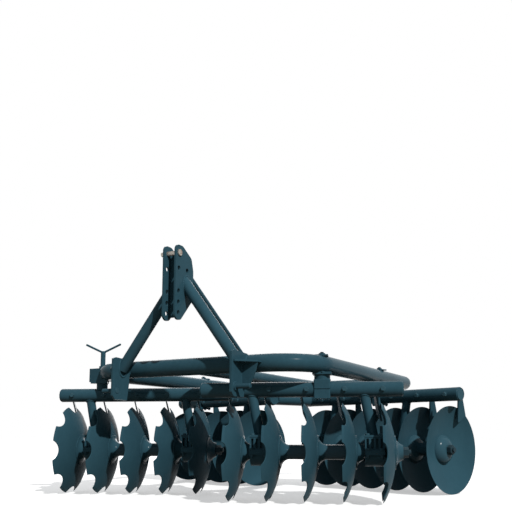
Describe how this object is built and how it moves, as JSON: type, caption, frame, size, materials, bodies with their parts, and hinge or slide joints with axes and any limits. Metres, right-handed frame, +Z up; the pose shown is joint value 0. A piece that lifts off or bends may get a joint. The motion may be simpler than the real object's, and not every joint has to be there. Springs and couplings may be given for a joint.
{
  "type": "mounted disc harrow",
  "caption": "Three-point mounted disc harrow: closed tube frame, four gangs of dished discs, notched in front and plain behind.",
  "frame": {"origin": "middle of the machine's box at ground level, under the discs' lowest points", "axes": "+Z up; -Y towards the tractor, so the hitch is at -Y; +X towards the machine's left side"},
  "size_m": [2.506, 2.3019, 1.481],
  "materials": {
    "frame_paint": "semi-gloss",
    "disc_paint": "semi-gloss",
    "pin_steel": "worn"
  },
  "bodies": {
    "frame": {"frame_ring": "frame_paint", "front_left_beam": "frame_paint", "front_left_bearing_caps": "frame_paint", "front_left_bearings": "frame_paint", "front_left_scrapers": "frame_paint", "front_left_stems": "frame_paint", "front_right_beam": "frame_paint", "front_right_bearing_caps": "frame_paint", "front_right_bearings": "frame_paint", "front_right_scrapers": "frame_paint", "front_right_stems": "frame_paint", "hitch_ears": "frame_paint", "hitch_studs": "frame_paint", "lock_bracket": "frame_paint", "lock_handle": "frame_paint", "lower_clamps": "frame_paint", "mast": "frame_paint", "mast_brace": "frame_paint", "mast_legs": "frame_paint", "pivot_caps": "frame_paint", "pivot_heads": "frame_paint", "rear_left_beam": "frame_paint", "rear_left_bearing_caps": "frame_paint", "rear_left_bearings": "frame_paint", "rear_left_scrapers": "frame_paint", "rear_left_stems": "frame_paint", "rear_link": "frame_paint", "rear_right_beam": "frame_paint", "rear_right_bearing_caps": "frame_paint", "rear_right_bearings": "frame_paint", "rear_right_scrapers": "frame_paint", "rear_right_stems": "frame_paint", "top_link_pin": "pin_steel", "upper_clamps": "frame_paint"},
    "front_right_gang": {"front_right_axle": "frame_paint", "front_right_discs": "disc_paint", "front_right_spools": "frame_paint"},
    "front_left_gang": {"front_left_axle": "frame_paint", "front_left_discs": "disc_paint", "front_left_spools": "frame_paint"},
    "rear_right_gang": {"rear_right_axle": "frame_paint", "rear_right_discs": "disc_paint", "rear_right_spools": "frame_paint"},
    "rear_left_gang": {"rear_left_axle": "frame_paint", "rear_left_discs": "disc_paint", "rear_left_spools": "frame_paint"}
  },
  "joints": [
    {"name": "front_right_spin", "type": "hinge", "parent": "frame", "child": "front_right_gang", "pos_m": [-0.6964, -0.742, 0.28], "axis": [0.9397, 0.342, 0], "continuous": true},
    {"name": "front_left_spin", "type": "hinge", "parent": "frame", "child": "front_left_gang", "pos_m": [0.5266, -0.742, 0.28], "axis": [0.9397, 0.342, 0], "continuous": true},
    {"name": "rear_right_spin", "type": "hinge", "parent": "frame", "child": "rear_right_gang", "pos_m": [-0.6964, 0.3475, 0.28], "axis": [-0.9397, 0.342, 0], "continuous": true},
    {"name": "rear_left_spin", "type": "hinge", "parent": "frame", "child": "rear_left_gang", "pos_m": [0.5466, 0.3475, 0.28], "axis": [-0.9397, 0.342, 0], "continuous": true}
  ]
}
